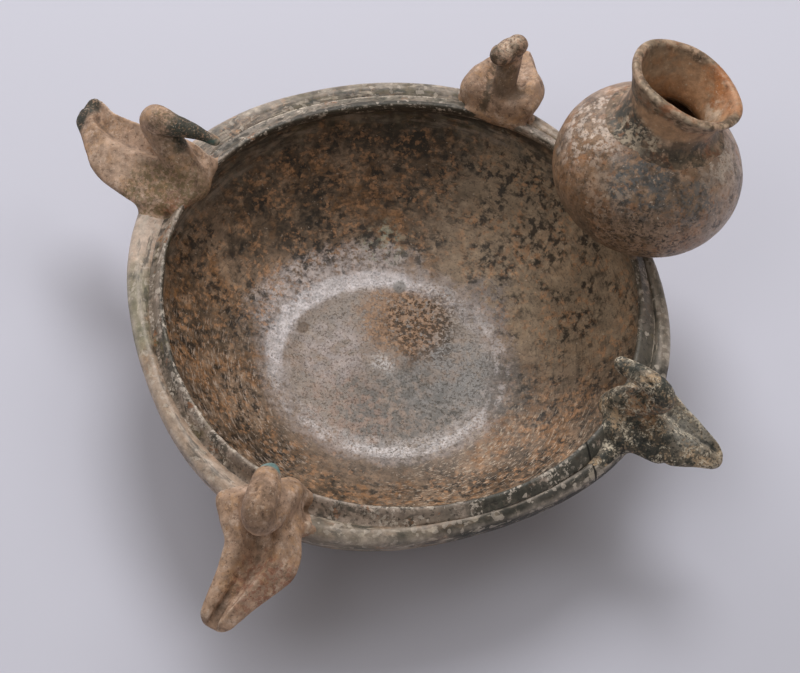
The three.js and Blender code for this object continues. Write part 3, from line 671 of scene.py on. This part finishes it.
# ---- Jug bed ----
# The jug was set on the rim with a roll of wet clay, smeared up the globe and down both sides of the
# lip with a fingertip, so it flows from one shape into the other.
STEP = 0.8
# A skin of smeared clay lies this far under the shape that it is smeared on, where it has run out
HIDDEN = 0.4
# How deep that skin reaches into the jug and into the rim
JUG_DEPTH, RIM_DEPTH = 2, 3
BED_REACH = 9
# Cells of air that are put round each grid, so that its surface always closes
EMPTY_CELLS = 2


def ramp(low, high, value):
    t = np.clip((value - low) / (high - low), 0, 1)
    return t * t * (3 - 2 * t)


def merged(first, second, reach):
    """Two shapes joined with a fillet. Fields are negative inside and grow with the distance."""
    share = np.clip(0.5 + 0.5 * (second - first) / reach, 0, 1)
    return second + share * (first - second) - reach * share * (1 - share)


def cut(shape, tool, reach):
    return -merged(-shape, tool, reach)


def polygon_field(x, y, corners):
    """How far points lie outside a closed polygon, negative inside."""
    nearest = np.full(np.broadcast(x, y).shape, 1e9)
    inside = np.zeros(nearest.shape, bool)
    for (ax, ay), (bx, by) in zip(corners, np.roll(corners, -1, 0)):
        dx, dy = bx - ax, by - ay
        if dx * dx + dy * dy < 1e-9:
            continue
        t = np.clip(((x - ax) * dx + (y - ay) * dy) / (dx * dx + dy * dy), 0, 1)
        nearest = np.minimum(nearest, (x - ax - t * dx) ** 2 + (y - ay - t * dy) ** 2)
        if ay != by:
            inside ^= ((ay > y) != (by > y)) & (x < ax + (y - ay) * dx / dy)
    return np.where(inside, -1, 1) * np.sqrt(nearest)


def wave(waves, angle):
    return sum(c * np.cos(n * angle) + s * np.sin(n * angle) for n, c, s in waves)


RIM_SECTION = np.array([p for p in curve_through(OUTSIDE, 40) if p[1] > 48] + [COLLAR_SEAT]
                       + [p for p in curve_through(INSIDE, 30) if p[1] > 48])
LIP_SECTION = curve_through([*COLLAR, COLLAR[0]], 30)[:-1, :2]


def rim_field(x, y, z):
    """How far points lie outside the bowl's shoulder and its lip."""
    angle, radius = np.arctan2(y, x), np.hypot(x, y)
    at_lip, at_shoulder = wave(LIP_WAVES, angle), wave(SHOULDER_WAVES, angle)
    low = ramp(*WAVES_CHANGE_HEIGHTS, z)
    even = radius - at_shoulder
    for _ in range(5):
        share = np.maximum(ramp(*WAVES_CHANGE_RADII, even), low)
        bulge = (at_lip + share * (at_shoulder - at_lip)) * ramp(0, WAVES_FULL_HEIGHT, z)
        even = (even + radius - bulge) / 2
    return np.minimum(polygon_field(even, z, RIM_SECTION), polygon_field(even, z, LIP_SECTION))


def surface(field, corner, directions):
    """Quads where a field on a grid passes zero, with one corner in every cell that it crosses."""
    field = np.pad(field, EMPTY_CELLS, constant_values=STEP)
    solid = field < 0
    size = np.array(field.shape) - 1
    cell = lambda a, i, j, k: a[i:i + size[0], j:j + size[1], k:k + size[2]]
    crossed = np.zeros(size, int)
    total = np.zeros((*size, 3))
    for axis in range(3):
        for i, j in ((0, 0), (0, 1), (1, 0), (1, 1)):
            near = np.insert([i, j], axis, 0)
            far = np.insert([i, j], axis, 1)
            a, b = cell(field, *near), cell(field, *far)
            hit = (a < 0) != (b < 0)
            share = np.where(hit, a / np.where(hit, a - b, 1), 0)
            spot = np.broadcast_to(near.astype(float), (*size, 3)).copy()
            spot[..., axis] += share
            total += spot * hit[..., None]
            crossed += hit
    mixed = crossed > 0
    number = np.full(size, -1)
    number[mixed] = np.arange(mixed.sum())
    spots = total[mixed] / crossed[mixed][:, None] + np.argwhere(mixed)
    quads = []
    for axis in range(3):
        front = np.moveaxis(solid, axis, 0)
        change = front[1:, 1:-1, 1:-1] != front[:-1, 1:-1, 1:-1]
        filled = front[:-1, 1:-1, 1:-1]
        cells = np.moveaxis(number, axis, 0)
        ring = np.stack([cells[:, :-1, :-1], cells[:, 1:, :-1], cells[:, 1:, 1:], cells[:, :-1, 1:]], -1)
        faces, inward = ring[change], filled[change] != (axis != 1)
        faces[inward] = faces[inward][:, ::-1]
        quads.append(faces)
    return corner + ((spots - EMPTY_CELLS) * STEP) @ np.array(directions), np.concatenate(quads)


def sculpted(name, spots, quads, clay, skin):
    """A modelled piece from its surface, softened and given its worn skin."""
    shape = bpy.data.meshes.new(name)
    shape.from_pydata((spots * MM).tolist(), [], quads.tolist())
    maker = bpy.data.objects.new("maker", shape)
    scene.collection.objects.link(maker)
    modified(maker, worn_skin, [*skin, clay])
    return settled(maker, name, clay)


def grid_of(low, high, corner, directions):
    """A grid of points over a box that stands along the given directions, as three arrays each."""
    across = [np.arange(a, b + STEP, STEP) for a, b in zip(low, high)]
    local = np.meshgrid(*across, indexing="ij")
    directions = np.array(directions)
    world = [corner[k] + sum(local[i] * directions[i][k] for i in range(3)) for k in range(3)]
    return local, world


def jug_field(x, y, z, grown=0.0):
    """How far points lie outside the jug's globe."""
    axis = unit(JUG_AXIS)
    off = [x - JUG_CENTRE[0], y - JUG_CENTRE[1], z - JUG_CENTRE[2]]
    rise = sum(off[k] * axis[k] for k in range(3))
    flat = sum(o * o for o in off) - rise * rise
    wide, tall = JUG_RADIUS + grown, JUG_HALF_HEIGHT + grown
    near = np.sqrt(flat / wide ** 2 + rise ** 2 / tall ** 2)
    steep = np.sqrt(flat / wide ** 4 + rise ** 2 / tall ** 4)
    return near * (near - 1) / np.maximum(steep, 1e-6)


# Wet clay smeared with a fingertip and never burnished
luting_clay = fired_clay("smeared_clay", "#7d6c5e", 0.65, [
    ("#5b4f45", 0.7, 0.7, 0, ("blotch", 14, 0.44, 0.58)),
    ("#a38c7a", 0.7, 0.7, 0, ("blotch", 8, 0.48, 0.58), ("blotch", 2.2, 0.42, 0.53)),
    ("#2e2822", 0.7, 0.8, -0.08, ("blotch", 6, 0.52, 0.57), ("blotch", 1.8, 0.44, 0.53)),
    ("#d3c4b4", 0.75, 0.8, 0.1, ("blotch", 1.8, 0.62, 0.66)),
    ("#2a251f", 0.7, 0.8, 0, ("proud", -0.1, -0.25)),
])
low, high = np.array((78, 22, 62)), np.array((148, 104, 112))
_, (x, y, z) = grid_of(high * 0, high - low, low, np.eye(3))
jug, rim = jug_field(x, y, z), rim_field(x, y, z)
bed = merged(jug + HIDDEN, rim + HIDDEN, BED_REACH)
bed = np.maximum(bed, np.maximum(jug, rim) - BED_REACH)
bed = np.maximum(bed, np.maximum(-JUG_DEPTH - jug, -RIM_DEPTH - rim))
spots, quads = surface(bed, low, np.eye(3))
jug_bed = sculpted("jug_bed", spots, quads, luting_clay, [2, 0.8 * MM, 90.0, 0.3 * MM, 260.0])
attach(jug_bed, "root")
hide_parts("jug_luting")


# ---- Birds ----
# Four birds drink from the bowl. Each body is a scoop of clay pinched between the fingers, which
# raised a wing at each side and a groove along the back. A roll of clay makes the neck, which rises,
# leans out and bends back. They were never burnished, so they stay matte and pinkish.
LIP_RADIUS = 118.0
BELLY_DEPTH = 12.0
TAIL_DEPTH = 6.0
# How softly the neck, a lump or a cut runs into the body, and how far luting is smeared from it
NECK_FILLET, LUMP_FILLET, CUT_FILLET, LUTING_REACH = 4, 1.5, 1.2, 8
# Lengths run outwards from the lip, to the left of that, and up from the lip. An outline row has its
# distance out, its right edge and its left edge. A neck point has its place and its radius. Crests
# and trough are places across the body from -1 to 1, at the bowl and at the tail.
BIRDS = {
    "nw": dict(
        bearing=153.5, wings=(12, 10), rise=(-1, -3, -7), trough=(-0.5, -0.2), floor=0.3, edge=0.3,
        fillet=9, crests=((-0.9, -0.9), (-0.12, 0.15)),
        outline=[(0, -8, 14), (4, -11.5, 21.5), (12, -12, 25.5), (23, -11, 29), (34, -9, 28.5),
                 (45, -8, 27), (54, -8, 23), (62, -8.5, 16.5), (71, -11.5, 9), (78, -12, 3.8),
                 (81.5, -8, -1)],
        neck=[(3, 4, -3, 8), (10, 3, 6, 8.4), (18, 1, 14, 8.3), (26, -0.5, 21, 8), (30, -1.5, 26, 7.6),
              (26, -1, 29.5, 7.2), (19, -2, 30, 5.8), (10, -6, 27.5, 4), (1, -9.5, 23.5, 2.2)],
        lumps=[[(71, -3, -2.5, 2.4), (75, -3.5, -3.2, 2.2)], [(2, -9, 24, 2.4), (-1, -10, 23, 2.6)]],
        cuts=[[(0, 15, -7, 0.8), (8, 18.5, -9, 1), (18, 22, -9.5, 0.8)],
              [(14, 3, 30, 0.7), (18, 4.5, 29, 1), (22, 5.5, 27, 0.7)]],
    ),
    "n": dict(
        bearing=71, wings=(11, 11), rise=(2, 2, -1), trough=(0.05, 0), floor=0.62, edge=0.3,
        fillet=6, crests=((-0.72, -0.72), (0.72, 0.72)),
        outline=[(1, -11, 16), (6, -17, 22.5), (13, -18.7, 24), (22, -19, 22.7), (29, -16, 19.5),
                 (36, -9.5, 16), (44, -4, 11), (50, 0, 7.5)],
        neck=[(8, 0, 1, 6), (9, 0, 6, 6.4), (13, 1, 14, 6.2), (19, 2, 22, 6.2), (23, 3, 29, 6.2),
              (20, 3.5, 32, 6)],
        lumps=[[(21, 3, 32, 5.4), (14.5, 6, 33.5, 5.6)], [(22, 2, 32, 5.4), (22.5, 0.2, 36, 5.6)]],
        cuts=[[(14, -8, 9, 1), (22, -7, 11, 1.4)], [(44, -3, 5, 1.6), (40, -6, 7, 1.2)],
              [(12, 1, 39, 0.8), (17, 4, 40, 1.2), (22, 7, 38, 0.8)]],
    ),
    "sw": dict(
        bearing=249.8, wings=(12, 13), rise=(0, -4, -9), trough=(0.02, -0.08), floor=0.28, edge=0.7,
        fillet=7, crests=((-0.5, -0.6), (0.5, 0.42)),
        outline=[(3, -8, 7), (11, -13, 12), (18, -21, 15), (24, -26, 18), (32, -21, 22),
                 (41, -13, 23), (51, -10.5, 19), (62, -9, 13.5), (74, -7.5, 8.5), (79, -5, 5)],
        neck=[(6, 3, 2, 6.5), (9, 3, 8, 7), (18, 2.5, 13, 7.2), (27, 2.5, 17, 7.4), (33, 1, 22.5, 7.5),
              (31, -0.5, 27.5, 7.7), (23, -2, 28.5, 7.8), (14.5, -4.6, 25.5, 6.3), (8, -6, 20.5, 3.6)],
        lumps=[[(17, 17, 1, 2.2), (19, 17.5, 0, 2)]],
        cuts=[[(44, 1.4, 1.4, 0.6), (52, 1, -0.6, 1.2), (62, 0.4, -3.4, 1.8), (72, -0.2, -6.4, 2.4),
               (84, -0.6, -9, 3)],
              [(50, 7, 4, 0.5), (58, 5.6, 0.5, 1), (66, 4.4, -2.5, 1.1), (72, 3.6, -5, 0.6)],
              [(36, -17, 6, 0.7), (50, -11.2, 2, 1), (62, -9.6, -2, 0.7)],
              [(25.2, -5.2, 36.2, 1.8), (25.8, -5, 36, 1.8)], [(34, 3, 32.5, 0.6), (37, 5.5, 30, 0.8)],
              [(8, 0.5, 27, 0.9), (15, 2.6, 31, 1.2), (22, 5, 32.5, 0.9)]],
    ),
    "se": dict(
        bearing=335.6, wings=(10, 11), rise=(-1, -4, -8), trough=(0.4, 0.42), floor=0.5, edge=0.1,
        fillet=6, crests=((-0.08, 0.0), (0.86, 0.86)),
        outline=[(1, -10, 10), (6, -15.5, 15.5), (14, -18, 18), (24, -17.5, 17.8), (33, -16, 14.8),
                 (42, -12, 12.3), (51, -6.5, 9.3), (58, -2.5, 6), (61, 0.5, 3.5)],
        neck=[(1, 0, -3, 7.4), (5, 0, 6, 7), (13, 0, 12.5, 6.2), (20, 0.5, 17.5, 5.8),
              (22.5, 1.5, 23, 5.8), (18, 2.5, 27, 5.6), (10, 3.5, 28, 5.2), (3, 4.5, 27, 4.6),
              (-2, 5.5, 25.5, 3.6)],
        lumps=[[(20, 4, 24, 4), (23, 0, 20, 4.4)], [(-1, 5, 27, 3.2), (-2.5, 6, 26, 3.2)],
               [(8, -10, -8, 5.5), (7.5, -20, -9, 5), (6.5, -29, -9.5, 3.6)]],
        cuts=[[(-3.5, 4.4, 30, 1.1), (-0.5, 3.6, 30.5, 0.9)], [(14, -3, 20, 1.6), (19, -4, 22, 1.2)],
              [(2, 1.5, 31, 0.8), (9, 0.5, 32.5, 1), (16, 0, 31, 0.8)],
              [(35, -17, -2, 1), (37, -14, -8, 1.8), (39, -10, -14, 1.4)]],
    ),
}


def chain_field(x, y, z, links):
    """How far points lie outside a roll of clay along points, each with its own radius."""
    nearest = np.full(x.shape, 1e9)
    for (ax, ay, az, ar), (bx, by, bz, br) in zip(links[:-1], links[1:]):
        dx, dy, dz = bx - ax, by - ay, bz - az
        t = ((x - ax) * dx + (y - ay) * dy + (z - az) * dz) / max(dx * dx + dy * dy + dz * dz, 1e-6)
        t = np.clip(t, 0, 1)
        away = np.sqrt((x - ax - t * dx) ** 2 + (y - ay - t * dy) ** 2 + (z - az - t * dz) ** 2)
        nearest = np.minimum(nearest, away - (ar + t * (br - ar)))
    return nearest


def parabola(values, share):
    start, middle, end = values
    return (1 - share) * (1 - 2 * share) * start + 4 * share * (1 - share) * middle \
        + share * (2 * share - 1) * end


def body_section(bird, share, half):
    """The outline of a body across its length, from its right edge over the back to the belly."""
    size = 0.55 + 0.45 * ramp(0, 0.16, share) * (1 - ramp(0.86, 1.05, share))
    lower = (1 - 0.5 * ramp(0.3, 1, share)) * size
    right_wing, left_wing = bird["wings"][0] * lower, bird["wings"][1] * lower
    depth = (BELLY_DEPTH + (TAIL_DEPTH - BELLY_DEPTH) * ramp(0.1, 0.9, share)) * size
    opened = ramp(0, 0.3, share) * (1 - 0.5 * ramp(0.85, 1, share))
    floor = (0.85 - (0.85 - bird["floor"]) * opened) * (right_wing + left_wing) / 2
    right_crest, trough, left_crest = (
        near + share * (far - near) for near, far in (bird["crests"][0], bird["trough"], bird["crests"][1]))
    corners = [
        (-1, bird["edge"] * right_wing),
        ((right_crest - 1) / 2, (0.55 + 0.5 * bird["edge"]) * right_wing), (right_crest, right_wing),
        ((trough + right_crest) / 2, floor + 0.42 * (right_wing - floor)), (trough, floor),
        ((trough + left_crest) / 2, floor + 0.42 * (left_wing - floor)), (left_crest, left_wing),
        ((1 + left_crest) / 2, 0.6 * left_wing), (1, 0.1 * left_wing), (0.86, -0.45 * depth),
        (0.5, -0.86 * depth), (0, -depth), (-0.5, -0.86 * depth), (-0.86, -0.45 * depth),
    ]
    ring = np.array(corners) * (half, 1)
    return curve_through([ring[-1], *ring, ring[0], ring[1]], 16 * 4)[4:-4]


def directions_at(bearing):
    """Out from the bowl, to the left of that, and up."""
    angle = math.radians(bearing)
    return np.array([(math.cos(angle), math.sin(angle), 0), (-math.sin(angle), math.cos(angle), 0),
                     (0, 0, 1)])


def bird_surface(bird):
    """The surface of a bird with the clay that joins it to the rim."""
    ways = directions_at(bird["bearing"])
    corner = ways[0] * LIP_RADIUS + (0, 0, LIP_HEIGHT)
    rows = np.array(bird["outline"], float)
    low = np.array((-12, rows[:, 1].min() - 22, -30))
    high = np.array((rows[-1, 0] + 5, rows[:, 2].max() + 12, 46))
    (out, left, height), (x, y, z) = grid_of(low, high, corner, ways)
    edges = curve_through(rows, 120)
    body = np.zeros(out.shape)
    for i, reach in enumerate(out[:, 0, 0]):
        right_edge, left_edge = (np.interp(reach, edges[:, 0], edges[:, k]) for k in (1, 2))
        share = np.clip(reach / rows[-1, 0], 0, 1)
        section = body_section(bird, share, (left_edge - right_edge) / 2)
        section = section + ((left_edge + right_edge) / 2, parabola(bird["rise"], share))
        body[i] = polygon_field(left[i], height[i], section)
    ends = np.maximum(rows[0, 0] - out, out - rows[-1, 0])
    body = -merged(-body, -ends - 1, 4)
    neck = chain_field(out, left, height, curve_through(bird["neck"], 30))
    figure = merged(body, neck, NECK_FILLET)
    for lump in bird["lumps"]:
        figure = merged(figure, chain_field(out, left, height, lump), LUMP_FILLET)
    for hollow in bird["cuts"]:
        tool = chain_field(out, left, height, curve_through(hollow, 6))
        figure = cut(figure, tool, CUT_FILLET)
    rim = rim_field(x, y, z)
    joined = merged(figure, rim + HIDDEN, bird["fillet"])
    radius = np.hypot(x, y)
    inside_bowl = np.maximum(radius - LIP_RADIUS - 1.5, z - LIP_HEIGHT + 5)
    joined = np.maximum(np.maximum(joined, figure - LUTING_REACH), np.maximum(-RIM_DEPTH - rim, -inside_bowl))
    return surface(joined, corner + low @ ways, ways)


# Pinched and never burnished, so it is matte and pinkish, and darker in every hollow. Verdigris
# from something buried beside it has stained two beaks and a tail.
bird_clay = fired_clay("pinched_pink_clay", "#af907a", 0.75, [
    ("#937863", 0.8, 0.7, 0, ("blotch", 18, 0.42, 0.6)),
    ("#b58b62", 0.8, 0.5, 0, ("blotch", 12, 0.46, 0.6), ("blotch", 3, 0.36, 0.58)),
    ("#cbb2a0", 0.8, 0.6, 0.03, ("blotch", 8, 0.48, 0.62), ("blotch", 2.2, 0.38, 0.58)),
    ("#6b5443", 0.8, 0.6, -0.08, ("blotch", 7, 0.51, 0.61), ("blotch", 1.7, 0.4, 0.56)),
    ("#c3a793", 0.8, 0.6, 0, ("patch", (-145, 62, 92), 18, 14), ("blotch", 4, 0.34, 0.56)),
    ("#2f332d", 0.75, 0.92, 0.1, ("patch", (-176, 95, 89), 12, 4), ("blotch", 1.6, 0.32, 0.48)),
    ("#2f332d", 0.75, 0.9, 0.1, ("patch", (-177, 82, 84), 6, 3), ("blotch", 1.6, 0.32, 0.48)),
    ("#5d5238", 0.75, 0.7, 0, ("patch", (-118, 64, 122), 14, 10), ("blotch", 1.8, 0.44, 0.56)),
    ("#363c36", 0.7, 0.92, 0.12, ("patch", (-112, 61, 119), 12, 6), ("blotch", 1.4, 0.34, 0.5)),
    ("#2e5450", 0.6, 0.85, 0, ("patch", (-102, 57, 111), 6, 2)),
    ("#665b38", 0.75, 0.65, 0, ("patch", (-124, 36, 88), 24, 14), ("blotch", 2, 0.42, 0.58)),
    ("#9c5a44", 0.8, 0.6, 0, ("patch", (-118, 40, 84), 8, 5), ("blotch", 2, 0.42, 0.55)),
    ("#5b8a8c", 0.6, 0.8, 0, ("patch", (-49, -117, 115), 6, 3)),
    ("#856a55", 0.75, 0.75, 0, ("patch", (-56, -138, 121), 14, 8), ("blotch", 3, 0.36, 0.54)),
    ("#4b463a", 0.75, 0.7, 0, ("patch", (40, 129, 126), 12, 7), ("blotch", 1.8, 0.46, 0.57)),
    # Painted highlight: a cream patch on the top of the N bird's head
    ("#d0bba6", 0.75, 0.7, 0.05, ("patch", (38, 134, 130), 9, 5), ("blotch", 2, 0.46, 0.56)),
    # Painted shadow, partly a stain: a dark streak down the left of the N bird's neck, where the folded wing
    # shades it
    ("#453b2c", 0.75, 0.75, -0.1, ("line", (36, 138), (33, 116), 2.2), ("blotch", 4, 0.32, 0.52)),
    ("#5b4a3a", 0.75, 0.7, 0, ("patch", (43, 122, 108), 10, 7)),
    ("#8a4d36", 0.8, 0.5, 0, ("patch", (-45, -164, 88), 15, 10), ("blotch", 2.4, 0.46, 0.58)),
    ("#4a3a2d", 0.8, 0.5, -0.12, ("blotch", 1.4, 0.59, 0.66)),
    ("#d9c9b8", 0.8, 0.45, 0.1, ("blotch", 1.2, 0.63, 0.69)),
    ("#d3bda9", 0.8, 0.7, 0, ("proud", 0.24, 0.5), ("blotch", 3, 0.38, 0.54)),
    ("#4f3e30", 0.8, 0.62, 0, ("proud", -0.1, -0.3)),
])
# The same clay burnt dark, then crusted with green-black and cream from the soil
dark_bird_clay = fired_clay("crusted_dark_clay", "#8b7d6c", 0.7, [
    ("#5b574d", 0.7, 0.8, 0, ("blotch", 13, 0.42, 0.58)),
    ("#b89b7b", 0.75, 0.75, 0.05, ("blotch", 7, 0.47, 0.57), ("blotch", 1.6, 0.36, 0.54)),
    ("#9a6a42", 0.7, 0.6, 0, ("patch", (124, -56, 104), 13, 9), ("blotch", 2, 0.44, 0.56)),
    ("#2f322c", 0.6, 0.9, 0.08, ("blotch", 7, 0.48, 0.56), ("blotch", 1.5, 0.36, 0.52)),
    ("#232521", 0.6, 0.85, 0, ("patch", (124, -78, 84), 19, 12), ("blotch", 2.2, 0.36, 0.5)),
    ("#8f8a81", 0.75, 0.8, 0, ("patch", (145, -58, 90), 13, 6), ("blotch", 2.2, 0.36, 0.5)),
    ("#cbbba4", 0.75, 0.8, 0.08, ("patch", (166, -74, 84), 9, 6), ("blotch", 2, 0.4, 0.52)),
    ("#d6c9b4", 0.75, 0.8, 0.12, ("blotch", 5, 0.49, 0.58), ("blotch", 1.1, 0.46, 0.57)),
    ("#d9ccb6", 0.75, 0.8, 0, ("proud", 0.22, 0.45), ("blotch", 2, 0.47, 0.56)),
    ("#23231f", 0.7, 0.85, 0, ("proud", -0.1, -0.26)),
    ("#1d1d19", 0.7, 0.7, -0.1, ("blotch", 1.4, 0.55, 0.62)),
])
for name, bird in BIRDS.items():
    spots, quads = bird_surface(bird)
    clay = dark_bird_clay if name == "se" else bird_clay
    piece = sculpted(f"bird_{name}", spots, quads, clay, [2, 0.8 * MM, 80.0, 0.35 * MM, 260.0])
    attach(piece, "root")
    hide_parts(f"bird_{name}_body", f"bird_{name}_neck", f"bird_{name}_luting")
